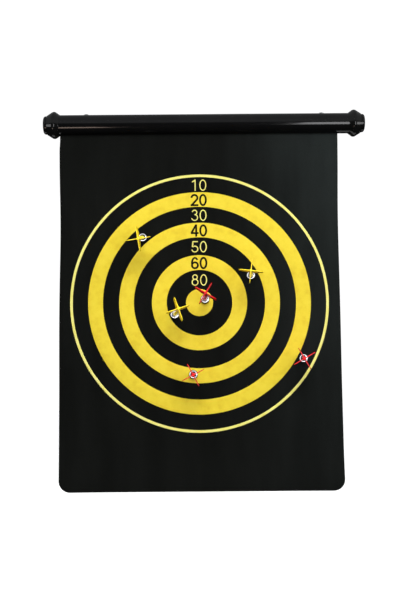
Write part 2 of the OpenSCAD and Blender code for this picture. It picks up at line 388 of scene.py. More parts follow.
def cap_plastic():
    """Black moulded plastic with a fine orange-peel skin."""
    made = material("cap_plastic", (0.006, 0.006, 0.0065), 0.12, Specular_IOR_Level=0.5)
    place = coordinates(made)
    gloss(made, noise(made, place, 240, 3), 0.09, 0.15)
    tint(made, noise(made, place, 70, 4), [(0.3, (0.0032,) * 3), (0.7, (0.0056,) * 3)])
    add_bump(made, noise(made, place, 420, 3), 0.10, 0.03 * MM)
    return made


def painted_sheen_corner(made):
    """Painted sheen mask: 1 at the top right, where light makes the pile look paler, 0 at the left.
    """
    place = add_node(made, "ShaderNodeTexCoord").outputs["Object"]
    split = add_node(made, "ShaderNodeSeparateXYZ", Vector=place)
    across = grey_range(made, split.outputs["X"], 0, 1, MAT_X + 0.08 * MAT_W, MAT_X + 0.42 * MAT_W)
    up = grey_range(made, split.outputs["Z"], 0.12, 1, MAT_BOTTOM, MAT_TOP)
    both = add_node(made, "ShaderNodeMath")
    both.operation = "MULTIPLY"
    for socket, value in zip(both.inputs, (across, up)):
        made.node_tree.links.new(value, socket)
    return both.outputs[0]


def flock(name, dark, light):
    """Short black pile: fibre grain, brushed patches lying different ways, sheen, painted sheen at
    top right.
    """
    made = material(
        name, dark, 1.0,
        Specular_IOR_Level=0.12,
        Sheen_Weight=0.05,
        Sheen_Roughness=0.45,
        Sheen_Tint=(0.8, 0.95, 0.95, 1),
    )
    place = coordinates(made)
    nap = noise(made, coordinates(made, (1.5, 1, 0.28)), 26, 3)
    fibre = noise(made, place, 2600, 2, 0.7)
    tone = ramp(made, nap, [(0.32, dark), (0.72, light)])
    # Painted sheen: the pile is painted paler and bluer towards the top right, where the light
    # falls brighter
    painted_sheen = mix_colour(made, 1.0, tone, (2.7, 3.0, 3.25), "MULTIPLY")
    tone = mix_colour(made, painted_sheen_corner(made), tone, painted_sheen)
    grain = ramp(made, fibre, [(0.25, (0.62, 0.62, 0.62)), (0.75, (1.4, 1.4, 1.4))])
    to_shader(made, mix_colour(made, 1.0, tone, grain, "MULTIPLY"), "Base Color")
    add_bump(made, fibre, 0.7, 0.16 * MM)
    add_bump(made, noise(made, place, 700, 3), 0.3, 0.12 * MM)
    return made


def rubber_core():
    """Flexible magnetic sheet: dull dark grey with ferrite specks and fine knife marks."""
    made = material("mat_rubber", (0.02, 0.02, 0.021), 0.62, Specular_IOR_Level=0.35)
    place = coordinates(made)
    tint(made, noise(made, place, 900, 3), [(0.35, (0.014,) * 3), (0.75, (0.032,) * 3)])
    gloss(made, noise(made, place, 400, 2), 0.5, 0.72)
    add_bump(made, noise(made, coordinates(made, (1, 0.15, 1)), 1500, 2), 0.4, 0.08 * MM)
    return made


def dial_ink(name, shade, base, bright):
    """Opaque yellow on the flock: the pile's grain and slight mottling show through."""
    made = material(name, base, 0.78, Specular_IOR_Level=0.25, Sheen_Weight=0.08,
                    Sheen_Roughness=0.5)
    place = coordinates(made)
    mottle = noise(made, place, 85, 5, 0.62)
    tone = ramp(made, mottle, [(0.3, shade), (0.5, base), (0.72, bright)])
    fibre = noise(made, place, 2600, 2, 0.7)
    grain = ramp(made, fibre, [(0.25, (0.93, 0.92, 0.86)), (0.7, (1, 1, 1))])
    to_shader(made, mix_colour(made, 1.0, tone, grain, "MULTIPLY"), "Base Color")
    gloss(made, mottle, 0.7, 0.86)
    add_bump(made, fibre, 0.45, 0.1 * MM)
    add_bump(made, noise(made, place, 700, 3), 0.25, 0.1 * MM)
    return made


def flight_plastic(name, shade, base):
    """Glossy moulded plastic that lets a little light through, with faint flow marks."""
    made = material(
        name, base, 0.26,
        Specular_IOR_Level=0.5,
        Subsurface_Weight=0.12,
        Subsurface_Radius=(1.2 * MM, 0.6 * MM, 0.3 * MM),
        Subsurface_Scale=1.0,
        Coat_Weight=0.25,
        Coat_Roughness=0.12,
    )
    place = coordinates(made)
    tint(made, noise(made, place, 150, 3), [(0.3, shade), (0.65, base)])
    gloss(made, noise(made, place, 500, 3), 0.2, 0.34)
    add_bump(made, noise(made, place, 620, 2), 0.18, 0.05 * MM)
    return made


def metal(name, colour, rough_low, rough_high, scale, bump):
    """Plated metal: its roughness and a fine grain vary over the surface."""
    made = material(name, colour, rough_low, Metallic=1.0)
    place = coordinates(made)
    patches = noise(made, place, scale, 4)
    gloss(made, patches, rough_low, rough_high)
    worn = tuple(0.86 * c for c in colour)
    tint(made, noise(made, place, scale * 0.4, 3), [(0.35, worn), (0.6, colour)])
    add_bump(made, noise(made, place, scale * 3, 2), bump, 0.03 * MM)
    return made


def rod_plastic():
    """Matt extruded plastic with faint draw lines."""
    made = material("rod_plastic", (0.05, 0.05, 0.052), 0.45)
    drawn = noise(made, coordinates(made, (0.05, 1, 1)), 500, 3)
    tint(made, drawn, [(0.3, (0.035,) * 3), (0.7, (0.06,) * 3)])
    return made


TUBE_PLASTIC = tube_plastic()
CAP_PLASTIC = cap_plastic()
FRONT_FLOCK = flock("front_flock_pile", (0.0044, 0.0049, 0.0043), (0.0068, 0.0075, 0.0067))
BACK_FLOCK = flock("back_flock_pile", (0.0060, 0.0063, 0.0062), (0.0090, 0.0094, 0.0092))
RUBBER = rubber_core()
BAND_INK = dial_ink("band_ink", (0.82, 0.61, 0.034), (0.89, 0.70, 0.046), (0.93, 0.745, 0.062))
LINE_INK = dial_ink("line_ink", (0.90, 0.82, 0.18), (0.95, 0.89, 0.25), (0.96, 0.91, 0.33))
YELLOW_PLASTIC = flight_plastic("dart_yellow", (0.86, 0.62, 0.012), (0.93, 0.72, 0.02))
RED_PLASTIC = flight_plastic("dart_red", (0.56, 0.004, 0.006), (0.70, 0.007, 0.010))
CHROME = metal("cup_chrome", (0.86, 0.86, 0.87), 0.05, 0.12, 260, 0.05)
NICKEL = metal("magnet_nickel", (0.60, 0.59, 0.57), 0.16, 0.3, 320, 0.1)
ZINC = metal("eye_zinc", (0.62, 0.63, 0.65), 0.24, 0.42, 300, 0.25)
ALLOY = metal("rivet_alloy", (0.72, 0.72, 0.73), 0.3, 0.45, 340, 0.2)
ROD_PLASTIC = rod_plastic()


def dress(node, made):
    """Gives a CAD node a material and slightly broken edges."""
    shown = frame["nodes"][node]
    shown.data.materials.clear()
    shown.data.materials.append(made)
    weld = shown.modifiers.new("weld", "WELD")
    weld.merge_threshold = 0.002 * MM
    edges = shown.modifiers.new("bevel", "BEVEL")
    edges.width = 0.2 * MM
    edges.segments = 2
    edges.limit_method = "ANGLE"
    edges.angle_limit = math.radians(30)


# ---- Darts' places, from the CAD meshes and the joints' axes ----

def node_points(node):
    """A CAD node's points, one a row."""
    return np.array([v.co for v in frame["nodes"][node].data.vertices], float)


def dart_frame(number):
    """Matrix that puts a dart made along +Z, with its nose at the origin, in its CAD place."""
    joint = next(j for j in frame["joints"] if j["name"] == f"dart_{number}_pull")
    axis = Vector(joint["axis"]).normalized()
    # The rim of the magnet's flat back gives the dart's middle
    magnet = node_points(f"dart_{number}_magnet")
    along = magnet @ np.array(axis)
    back = np.unique(np.round(magnet[along > along.max() - 0.01 * MM], 7), axis=0)
    reach = np.linalg.norm(back - back.mean(0), axis=1)
    rim = back[reach > 0.9 * reach.max()]
    nose = Vector(rim.mean(0)) - axis * MAGNET_T
    side = Vector((1, 0, 0)) - axis * axis.x
    side.normalize()
    up = axis.cross(side)
    # The tips of the four fins, folded onto one, give the dart's turn about its axis
    flight = node_points(f"dart_{number}_flight") - np.array(nose)
    angles = np.arctan2(flight @ np.array(up), flight @ np.array(side))
    spans = np.hypot(flight @ np.array(up), flight @ np.array(side))
    tips = angles[spans > 0.97 * spans.max()]
    roll = np.angle(np.exp(4j * tips).mean()) / 4
    turned = side * math.cos(roll) + up * math.sin(roll)
    place = Matrix((turned, axis.cross(turned), axis)).transposed().to_4x4()
    place.translation = nose
    return place


DART_COUNT = sum(1 for j in frame["joints"] if j["name"].endswith("_pull"))
DART_PLACES = [dart_frame(i + 1) for i in range(DART_COUNT)]


# ---- Mat ----

def smooth(value, low, high):
    """0 at low and 1 at high, with a soft start and end."""
    t = np.clip((value - low) / (high - low), 0, 1)
    return t * t * (3 - 2 * t)


def mat_bow(x, z):
    """How far the hung mat bows towards the viewer: roll memory, side waves and a curled foot."""
    drop = MAT_TOP - z
    across = (x - MAT_X) / (MAT_W / 2)
    hang = smooth(drop, WAVES_FROM, WAVES_FULL)
    roll_phase, roll_skew = 0.5, 0.35
    roll = ROLL_WAVE * np.sin(TAU * drop / ROLL_PITCH + roll_phase + roll_skew * across)
    side_phase = np.where(across > 0, 2.1, 0.4)
    side = SIDE_WAVE * smooth(np.abs(across), 0.55, 1.0)
    side = side * np.sin(TAU * drop / SIDE_PITCH + side_phase)
    foot = smooth(z, MAT_BOTTOM + FOOT_CURL_H, MAT_BOTTOM)
    curl = BOTTOM_CURL * foot * foot
    corner = CORNER_CURL * foot * smooth(np.abs(across), 0.6, 1.0)
    near = np.zeros_like(drop)
    for place in DART_PLACES:
        distance = np.hypot(x - place.translation.x, z - place.translation.z)
        near = np.maximum(near, 1 - smooth(distance, PULL_FULL, PULL_END))
    bow = hang * (roll + side) + curl + corner
    return bow * (1 - near) + MAGNET_PULL * near


def mat_layout():
    """The mat's outline and surface as a grid: (x, z, distance from the edge), faces, rim."""
    half = MAT_W / 2
    # Rows that follow the edge inwards, closest where the pile is shaped. The last is CORNER_R in
    offsets = [0, 0.12, 0.3, 0.55, 0.9, 1.2, 1.45, 1.7, 1.95, 2.2, 2.6, 3.6, 5.5, 8.5, 13]
    offsets = [o * MM for o in offsets]
    side_steps, foot_steps, arc_steps = 100, 74, 14
    heights = [
        MAT_TOP + (MAT_BOTTOM + CORNER_R - MAT_TOP) * j / side_steps for j in range(side_steps + 1)
    ]
    widths = [
        -half + CORNER_R + (MAT_W - 2 * CORNER_R) * i / foot_steps for i in range(foot_steps + 1)
    ]
    index, points = {}, []

    def at(x, z, inset):
        """The index of a point, which is added if it is new."""
        key = (round(x / MM, 4), round(z / MM, 4))
        if key not in index:
            index[key] = len(points)
            points.append((MAT_X + x, z, inset))
        return index[key]

    def border(inset):
        """A row of points that follows the sides and the foot, down the left and up the right."""
        radius = CORNER_R - inset
        low = MAT_BOTTOM + CORNER_R
        path = [(-half + inset, z) for z in heights]
        for side, start in ((-1, 180), (1, 270)):
            centre = (side * (half - CORNER_R), low)
            path += arc(centre, radius, start, start + 90, arc_steps)[1:-1]
            if side < 0:
                path += [(x, MAT_BOTTOM + inset) for x in widths]
        path += [(half - inset, z) for z in reversed(heights)]
        return [at(x, z, inset) for x, z in path]

    loops = [border(inset) for inset in offsets]
    faces = []
    for outer, inner in zip(loops, loops[1:]):
        for i in range(len(outer) - 1):
            face = [outer[i], outer[i + 1], inner[i + 1], inner[i]]
            unique = list(dict.fromkeys(face))
            if len(unique) > 2:
                faces.append(tuple(unique))
    for j in range(side_steps):
        for i in range(foot_steps):
            corners = [(i, j), (i, j + 1), (i + 1, j + 1), (i + 1, j)]
            faces.append(tuple(at(widths[a], heights[b], CORNER_R) for a, b in corners))
    top = [loop[-1] for loop in loops] + [
        at(x, MAT_TOP, CORNER_R) for x in reversed(widths[1:-1])
    ] + [loop[0] for loop in reversed(loops)]
    rim = loops[0] + top[1:-1]
    return np.array(points), faces, rim


def side_run(x, z):
    """How far the cut edges wander sideways: both have a waist, and the right one spreads below."""
    across = (x - MAT_X) / (MAT_W / 2)
    drop = (MAT_TOP - z) / (MAT_TOP - MAT_BOTTOM)
    waist = np.exp(-(((drop - WAIST_AT) / WAIST_LEN) ** 2))
    right = RIGHT_SPREAD * drop**4 - RIGHT_WAIST * waist
    left = LEFT_SPREAD - LEFT_WAIST * waist
    out = np.where(across > 0, right, -left)
    return out * smooth(drop, 0.02, 0.05) * smooth(np.abs(across), 0.7, 1.0)


MAT_POINTS, MAT_FACES, MAT_RIM = mat_layout()
MAT_BOW = mat_bow(MAT_POINTS[:, 0], MAT_POINTS[:, 1])
MAT_POINTS[:, 0] += side_run(MAT_POINTS[:, 0], MAT_POINTS[:, 1])


def press_line(inset):
    """Depth of the line pressed into the pile all round, just inside the edge."""
    return PRESS_DEPTH * np.exp(-(((inset - PRESS_AT) / PRESS_W) ** 2))


def layer(name, front_y, back_y, front_drop, back_drop, made):
    """One layer of the mat, a closed sheet whose faces are lowered by front_drop and back_drop."""
    x, z, inset = MAT_POINTS.T
    front = np.stack([x, front_y - MAT_BOW + front_drop(inset), z], 1)
    back = np.stack([x, back_y - MAT_BOW - back_drop(inset), z], 1)
    count = len(MAT_POINTS)
    faces = [tuple(face) for face in MAT_FACES]
    faces += [tuple(count + i for i in reversed(face)) for face in MAT_FACES]
    for a, b in zip(MAT_RIM, MAT_RIM[1:] + MAT_RIM[:1]):
        faces.append((b, a, count + a, count + b))
    mesh = mesh_from(name, np.concatenate([front, back]), faces)
    return new_piece(name, mesh, "mat", made, 50)


def flat(inset):
    """A face that isn't lowered anywhere."""
    return np.zeros_like(inset)


def pile_edge(inset):
    """The pile thins out at the cut edge and is pressed down along the line."""
    return EDGE_THIN * (1 - smooth(inset, 0, EDGE_THIN_W)) + press_line(inset)


def mat_pieces():
    """The mat's three layers and the hem."""
    front = layer("mat_front_pile", FACE_Y, FACE_Y + FLOCK_T, pile_edge, flat,
                  FRONT_FLOCK)
    core = layer("mat_rubber_core", FACE_Y + FLOCK_T, back_low.y, flat, flat,
                 RUBBER)
    back = layer("mat_back_pile", back_low.y, back_high.y, flat, pile_edge,
                 BACK_FLOCK)
    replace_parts(front, "front_flock")
    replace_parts(core, "mat_core")
    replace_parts(back, "back_flock")
    hem = hem_roll()


def hem_roll():
    """The core's top edge, rolled round the rod, with a narrow mouth over the hanging sheet."""
    play = 0.05 * MM
    steps = 60
    wall = HEM_R - ROD_R - play
    inner = ROD_R + play
    mouth = math.degrees(math.asin(0.45 * CORE_T / HEM_R))
    outer_arc = arc((0, 0), HEM_R, -90 + mouth, 270 - mouth, steps)
    inner_arc = arc((0, 0), inner, 270 - mouth, -90 + mouth, steps)
    section = outer_arc + inner_arc
    half, lip = MAT_W / 2, 0.25 * wall
    points = []
    stations = [-half, -half + lip, half - lip, half]
    for station in stations:
        shrink = lip if station in (-half, half) else 0
        for i, (a, b) in enumerate(section):
            radius = math.hypot(a, b)
            target = radius - shrink if i < len(outer_arc) else radius + shrink
            scale = target / radius
            points.append((MAT_X + station, AXIS.y + a * scale, ROD_Z + b * scale))
    size = len(section)
    faces = tube_walls(len(stations), size)
    for k in (0, len(stations) - 1):
        for i in range(len(outer_arc) - 1):
            faces.append((
                k * size + i, k * size + i + 1,
                k * size + size - 2 - i, k * size + size - 1 - i,
            ))
    mesh = mesh_from("mat_hem_roll", points, faces)
    return new_piece("mat_hem_roll", mesh, "mat", RUBBER)


# ---- Dial ----

def front_loops():
    """Outlines of the CAD print's front face, as lists of (x, z) from the dial's centre."""
    source = frame["nodes"]["dial_print"].data
    flatness = 0.01 * MM
    # An edge that two faces share cancels out, so used keeps the outlines, in the faces' order
    keys, flat_points, used = {}, [], {}
    for polygon in source.polygons:
        corners = [source.vertices[i].co for i in polygon.vertices]
        if max(abs(c.y - PRINT_Y) for c in corners) > flatness:
            continue
        ids = []
        for corner in corners:
            key = (round(corner.x / MM, 3), round(corner.z / MM, 3))
            if key not in keys:
                keys[key] = len(flat_points)
                flat_points.append((corner.x - DIAL_X, corner.z - DIAL_Z))
            ids.append(keys[key])
        for a, b in zip(ids, ids[1:] + ids[:1]):
            if (b, a) in used:
                del used[(b, a)]
            else:
                used[(a, b)] = True
    following = {}
    for a, b in used:
        following.setdefault(a, []).append(b)
    loops = []
    while following:
        start = next(iter(following))
        loop, here = [], start
        while here in following:
            step = following[here].pop()
            if not following[here]:
                del following[here]
            loop.append(flat_points[here])
            here = step
        if len(loop) > 2:
            loops.append(loop)
    return loops


def ring_radius(loop):
    """The radius of a loop that is a circle about the dial's centre, or None."""
    least_r, play, least_points = 10 * MM, 0.2 * MM, 24
    radii = np.hypot(*np.array(loop).T)
    if radii.min() > least_r and radii.max() - radii.min() < play and len(loop) > least_points:
        return float(radii.max())
    return None


def circle_loop(radius, chance):
    """A circle whose edge follows the pile: it wanders by a few hundredths of a millimetre."""
    steps = int(TAU * radius / INK_STEP)
    points = []
    for i in range(steps):
        x = (radius + chance.uniform(-INK_RAGGED, INK_RAGGED)) * math.cos(TAU * i / steps)
        y = (radius + chance.uniform(-INK_RAGGED, INK_RAGGED)) * math.sin(TAU * i / steps)
        points.append((x, y))
    return points


def ink_mesh(name, loops):
    """Fills loops, gives the layer a rounded edge, cuts it into a grid and lays it on the mat."""
    data = bpy.data.curves.new(name, "CURVE")
    data.dimensions = "2D"
    data.fill_mode = "BOTH"
    data.extrude = PRINT_T / 2 - INK_ROUND
    data.bevel_depth = INK_ROUND
    data.bevel_resolution = 1
    data.offset = -INK_ROUND - INK_SHRINK
    for loop in loops:
        spline = data.splines.new("POLY")
        spline.points.add(len(loop) - 1)
        spline.use_cyclic_u = True
        for point, (x, z) in zip(spline.points, loop):
            point.co = (x, z, 0, 1)
    holder = bpy.data.objects.new(name, data)
    bpy.context.scene.collection.objects.link(holder)
    bpy.context.view_layer.update()
    mesh = bpy.data.meshes.new_from_object(
        holder.evaluated_get(bpy.context.evaluated_depsgraph_get())
    )
    bpy.data.objects.remove(holder)
    work = bmesh.new()
    work.from_mesh(mesh)
    bmesh.ops.remove_doubles(work, verts=work.verts, dist=0.001 * MM)
    reach = max(math.hypot(*p) for loop in loops for p in loop)
    count = int(reach / INK_GRID)
    # The grid is shifted by a part of its step, so that no cut runs through the dial's centre
    shift = 0.37
    for normal in ((1, 0, 0), (0, 1, 0)):
        for k in range(-count, count + 1):
            cut = Vector(normal) * (k + shift) * INK_GRID
            bmesh.ops.bisect_plane(
                work, geom=work.verts[:] + work.edges[:] + work.faces[:],
                plane_co=cut, plane_no=normal, dist=1e-7,
            )
    x = np.array([v.co.x for v in work.verts]) + DIAL_X
    z = np.array([v.co.y for v in work.verts]) + DIAL_Z
    raised = np.array([v.co.z for v in work.verts])
    bow = mat_bow(x, z)
    for i, vertex in enumerate(work.verts):
        vertex.co = (x[i], PRINT_Y + PRINT_T / 2 - raised[i] - bow[i], z[i])
    bmesh.ops.recalc_face_normals(work, faces=work.faces)
    work.to_mesh(mesh)
    work.free()
    mesh.name = name
    mesh.materials.clear()
    return mesh


def dial_layout():
    """Sorts the print's outlines into circles, numerals cut out of bands, and raised numerals."""
    loops = front_loops()
    rings = sorted(r for r in map(ring_radius, loops) if r is not None)
    bands = [(rings[i], rings[i + 1]) for i in range(1, len(rings) - 1, 2)]
    cut, raised = [], []
    for loop in loops:
        if ring_radius(loop) is not None:
            continue
        middle = float(np.hypot(*np.array(loop).mean(0)))
        inside = any(low < middle < high for low, high in bands)
        (cut if inside else raised).append(loop)
    return rings, bands, cut, raised


def dial():
    """The print in two pieces: the filled bands, and the thin outline with the raised numerals."""
    rings, bands, cut, raised = dial_layout()
    chance = random.Random(7)
    field = [circle_loop(rings[0], chance)]
    for low, high in bands[:-1]:
        field += [circle_loop(low, chance), circle_loop(high, chance)]
    fields = new_piece("dial_bands", ink_mesh("dial_bands", field + cut), "mat",
                       BAND_INK, 50)
    line = [circle_loop(r, chance) for r in bands[-1]]
    lines = new_piece("dial_outline_and_numerals", ink_mesh("dial_lines", line + raised), "mat",
                      LINE_INK, 50)
    fields.visible_glossy = False
    lines.visible_glossy = False
    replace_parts(fields, "dial_print")
    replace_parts(lines, "dial_print")


# ---- Header ----

def rivet(name, node):
    """A closed-end rivet: a domed head behind the eye and a rolled tail inside the tube."""
    low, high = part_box(node)
    centre = (low + high) / 2
    head_r = (high.x - low.x) / 2
    length = high.y - low.y
    shank_r, head_t, tail_r, tail_t = 1.5 * MM, 0.8 * MM, 2.5 * MM, 0.8 * MM
    pit_r, pit_rim, pit_depth = 0.55 * MM, 0.75 * MM, 0.25 * MM
    head_round, under_edge = 0.35 * MM, 0.3 * MM
    tail_round, tail_lead, end_r, end_dip = 0.3 * MM, 0.35 * MM, 0.6 * MM, 0.15 * MM
    profile = [(0, pit_depth), (pit_r, pit_depth), (pit_rim, 0)]
    profile += arc((head_r - head_round, head_t * 0.55), head_round, -80, 60, 8)
    profile += [(head_r - under_edge, head_t), (shank_r, head_t), (shank_r, length - tail_t)]
    profile += arc((tail_r - tail_round, length - tail_t + tail_lead), tail_round, -80, 80, 8)
    profile += [(end_r, length), (0, length - end_dip)]
    points, faces = lathe(profile, 48)
    place = Matrix.Translation((centre.x, high.y, centre.z)) @ Matrix.Rotation(TAU / 4, 4, "X")
    mesh = mesh_from(name, [place @ Vector(p) for p in points], faces)
    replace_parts(new_piece(name, mesh, "header", ALLOY), node)


def tube_section():
    """The tube's outline as (y, z) from its axis: outer face, slot edge, bore, slot edge."""
    edge = 0.22 * MM
    outer_steps, bore_steps = 150, 110
    lip_y = SLOT_W / 2
    mouth = math.degrees(math.asin((lip_y + edge) / TUBE_R))
    bore_mouth = math.degrees(math.asin((lip_y + edge) / TUBE_BORE_R))
    low = -math.sqrt(TUBE_R**2 - lip_y**2)
    high = -math.sqrt(TUBE_BORE_R**2 - lip_y**2)
    outer = arc((0, 0), TUBE_R, -90 + mouth, 270 - mouth, outer_steps)
    bore = arc((0, 0), TUBE_BORE_R, 270 - bore_mouth, -90 + bore_mouth, bore_steps)
    left = [(-lip_y - 0.3 * edge, low + 0.3 * edge), (-lip_y, low + edge)]
    left += [(-lip_y, high - edge), (-lip_y - 0.3 * edge, high - 0.3 * edge)]
    right = [(-y, z) for y, z in reversed(left)]
    return outer, left, bore, right


def tube_relief(angle, along):
    """How far the extruded face stands in: faint draw lines and slow waves along the tube."""
    depth = 0.010 * MM
    line = depth * (1 + math.sin(23 * angle + 0.6)) * (0.6 + 0.4 * math.sin(7 * angle))
    wave = depth * (1 + math.sin(31 * along + 2 * angle) * math.sin(9 * along + 0.8))
    return line + wave


def tube():
    """The header tube with its slot. The rivets fill its rivet holes, so these aren't cut."""
    outer, left, bore, right = tube_section()
    section = outer + left + bore + right
    size, bore_at = len(section), len(outer) + len(left)
    half = (tube_high.x - tube_low.x) / 2
    middle = (tube_high.x + tube_low.x) / 2
    edge = 0.2 * MM
    count = 150
    ends = [(half, edge), (half - 0.3 * edge, 0.3 * edge), (half - edge, 0)]
    stations = [(-along, inset) for along, inset in ends]
    stations += [((2 * k / count - 1) * (half - edge), 0) for k in range(1, count)]
    stations += reversed(ends)
    points = []
    for along, inset in stations:
        for i, (y, z) in enumerate(section):
            radius = math.hypot(y, z)
            target = radius
            if i < len(outer):
                target -= inset + tube_relief(math.atan2(z, y), along)
            elif bore_at <= i < bore_at + len(bore):
                target += inset
            scale = target / radius
            points.append((middle + along, AXIS.y + y * scale, AXIS.z + z * scale))
    faces = tube_walls(len(stations), size)
    for k in (0, len(stations) - 1):
        ring = list(range(k * size, (k + 1) * size))
        faces += end_strip(ring[:len(outer)], ring[bore_at:bore_at + len(bore)][::-1])
        faces.append(tuple(ring[len(outer) - 1:bore_at + 1]))
        faces.append(tuple(ring[bore_at + len(bore) - 1:] + ring[:1]))
    mesh = mesh_from("header_tube_extrusion", points, faces)
    return new_piece("header_tube_extrusion", mesh, "header", TUBE_PLASTIC, 35)


def end_strip(outer, inner):
    """Triangles that join two rows of points which run the same way."""
    faces, i, j = [], 0, 0
    while i < len(outer) - 1 or j < len(inner) - 1:
        if j == len(inner) - 1 or (i < len(outer) - 1 and i * len(inner) <= j * len(outer)):
            faces.append((outer[i], outer[i + 1], inner[j]))
            i += 1
        else:
            faces.append((outer[i], inner[j + 1], inner[j]))
            j += 1
    return faces


def cap_profile():
    """A cap's section as (radius, distance from its outer end): boss, groove, bead, socket."""
    edge = 0.12 * MM
    boss_end, bead_at = 4.4 * MM, 5.1 * MM
    boss_round, boss_round_at, dome_r, dome_edge = 2.6 * MM, 3.4 * MM, 27 * MM, 7.05 * MM
    groove_r, lip_r, plug_r = 9.7 * MM, TUBE_R + 0.5 * MM, 8.5 * MM
    crest_core = CAP_CREST_R - CAP_CREST_ROUND
    flank_r = crest_core + CAP_CREST_ROUND * math.cos(CAP_FLANK)
    run = CAP_CREST_ROUND * math.sin(CAP_FLANK)
    foot_r = flank_r - (CAP_CREST_AT - run - bead_at) * math.tan(CAP_FLANK)
    socket_at, floor_at = CAP_LEN - CAP_SOCKET, 3 * MM
    profile = dome(dome_r, dome_edge)
    profile += arc((CAP_BOSS_R - boss_round, boss_round_at), boss_round, -104, 0, 20)
    profile += [(CAP_BOSS_R, boss_end - edge), (CAP_BOSS_R - edge, boss_end)]
    profile += [(groove_r + edge, boss_end), (groove_r, boss_end + edge)]
    profile += [(groove_r, bead_at - edge), (groove_r + edge, bead_at)]
    profile += [(foot_r - edge, bead_at), (foot_r + 0.3 * edge, bead_at + 0.6 * edge)]
    profile += arc((crest_core, CAP_CREST_AT), CAP_CREST_ROUND, -math.degrees(CAP_FLANK),
                   math.degrees(CAP_FLANK), 16)
    profile += [(lip_r, CAP_LEN - edge), (lip_r - edge, CAP_LEN), (TUBE_R, CAP_LEN)]
    profile += [(TUBE_R, socket_at), (TUBE_BORE_R, socket_at), (TUBE_BORE_R, CAP_LEN - edge)]
    profile += [(TUBE_BORE_R - edge, CAP_LEN), (plug_r + edge, CAP_LEN)]
    profile += [(plug_r, CAP_LEN - edge), (plug_r, floor_at), (0, floor_at)]
    return profile


def end_cap(side):
    """A turned cap, with its outer end towards that side."""
    low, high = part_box(f"{side}_end_cap")
    outward = -1 if side == "left" else 1
    end = Vector((low.x if side == "left" else high.x, AXIS.y, AXIS.z))
    points, faces = lathe(cap_profile(), 160)
    place = Matrix.Translation(end) @ Matrix.Rotation(-outward * TAU / 4, 4, "Y")
    name = f"{side}_end_cap_turned"
    mesh = mesh_from(name, [place @ Vector(p) for p in points], faces)
    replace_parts(new_piece(name, mesh, "header", CAP_PLASTIC, 32),
                f"{side}_end_cap")


def header():
    """The tube, its caps and hanging eyes, the rivets and the rod in the hem."""
    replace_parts(tube(), "header_tube")
    for side in ("left", "right"):
        end_cap(side)
        dress(f"{side}_hanging_eye", ZINC)
        rivet(f"{side}_rivet", f"{side}_eye_rivet")
    dress("hem_rod", ROD_PLASTIC)


# ---- Darts ----

def barrel_part():
    """Moulded body: it starts in the cup's back, has six grip grooves and thins into the spine."""
    sunk, lead, plain_to = 0.4 * MM, 0.1 * MM, 7.4 * MM
    grooves, first_groove, groove_pitch = 6, 8, 1.5
    depth, ramp_end, floor_end, groove_w = 0.16 * MM, 0.2 * MM, 0.5 * MM, 0.7 * MM
    straight_to, taper_at, taper = FIN_ROOT - 2 * MM, FIN_ROOT - 1.6 * MM, 7 * MM
    end_round, gate_r, gate_dip = 0.45 * MM, 0.4 * MM, 0.2 * MM
    profile = [(0, CUP_BACK - sunk), (BARREL_R - lead, CUP_BACK - sunk)]
    profile += [(BARREL_R, CUP_BACK), (BARREL_R, plain_to)]
    for ring in range(grooves):
        start = (first_groove + groove_pitch * ring) * MM
        profile += [(BARREL_R, start), (BARREL_R - depth, start + ramp_end)]
        profile += [(BARREL_R - depth, start + floor_end), (BARREL_R, start + groove_w)]
    profile += [(BARREL_R, straight_to)]
    for t in range(9):
        fall = (BARREL_R - SPINE_R) * (1 - math.cos(math.pi * t / 8)) / 2
        profile.append((BARREL_R - fall, taper_at + taper * t / 8))
    profile += [(SPINE_R, DART_LEN - 0.5 * MM)]
    profile += arc((SPINE_R - end_round, DART_LEN - end_round), end_round, 0, 90, 5)
    profile += [(gate_r, DART_LEN), (0, DART_LEN - gate_dip)]
    return lathe(profile, 48)


def fin_outline():
    """One fin in (out, along): a bowed leading edge, a blunt tip and a hollow trailing edge."""
    out = FIN_SPAN / 2 - FIN_TIP_R
    tip = arc((out, FIN_LEAD_AT), FIN_TIP_R, -60, 0, 6)
    tip += arc((out, FIN_TIP_AT), FIN_TIP_R, 0, 105, 9)
    buried, rear_at = 0.6 * MM, DART_LEN - 0.25 * MM
    lead_bow, trail_bow = 0.4 * MM, 0.35 * MM
    root, rear = Vector((buried, FIN_ROOT)), Vector((buried, rear_at))
    steps = 12
    lead, trail = [], []
    for k in range(steps):
        point = root.lerp(Vector(tip[0]), k / steps)
        bow = lead_bow * math.sin(math.pi * k / steps)
        lead.append((point.x + 0.5 * bow, point.y - 0.8 * bow))
    for k in range(1, steps + 1):
        point = Vector(tip[-1]).lerp(rear, k / steps)
        trail.append((point.x, point.y - trail_bow * math.sin(math.pi * k / steps)))
    return lead + tip + trail


def fin_part(turn):
    """A fin with rounded edges that thins towards its tip, turned about the dart's axis."""
    outline = fin_outline()
    size = len(outline)
    centre = Vector((5.5 * MM, 37 * MM))
    thinning = 0.3
    # Each layer is a share of the outline's size, and a share of half the thickness
    layers = [(1.0, 0.0), (0.985, 0.55), (0.955, 0.85), (0.90, 1.0)]

    def thickness(out):
        """Half the fin's thickness at a distance from the dart's axis."""
        return FIN_T / 2 * (1 - thinning * out / (FIN_SPAN / 2))

    levels = [(scale, -rise) for scale, rise in reversed(layers)] + layers[1:]
    points = []
    for scale, rise in levels:
        for out, along in outline:
            inset = centre.lerp(Vector((out, along)), scale)
            points.append((inset.x, rise * thickness(inset.x), inset.y))
    faces = tube_walls(len(levels), size)
    for first, rise in ((0, -1), ((len(levels) - 1) * size, 1)):
        hub = len(points)
        points.append((centre.x, rise * thickness(centre.x), centre.y))
        for i in range(size):
            face = (first + i, first + (i + 1) % size, hub)
            faces.append(face if rise > 0 else face[::-1])
    spin = Matrix.Rotation(turn, 4, "Z")
    return [spin @ Vector(p) for p in points], faces


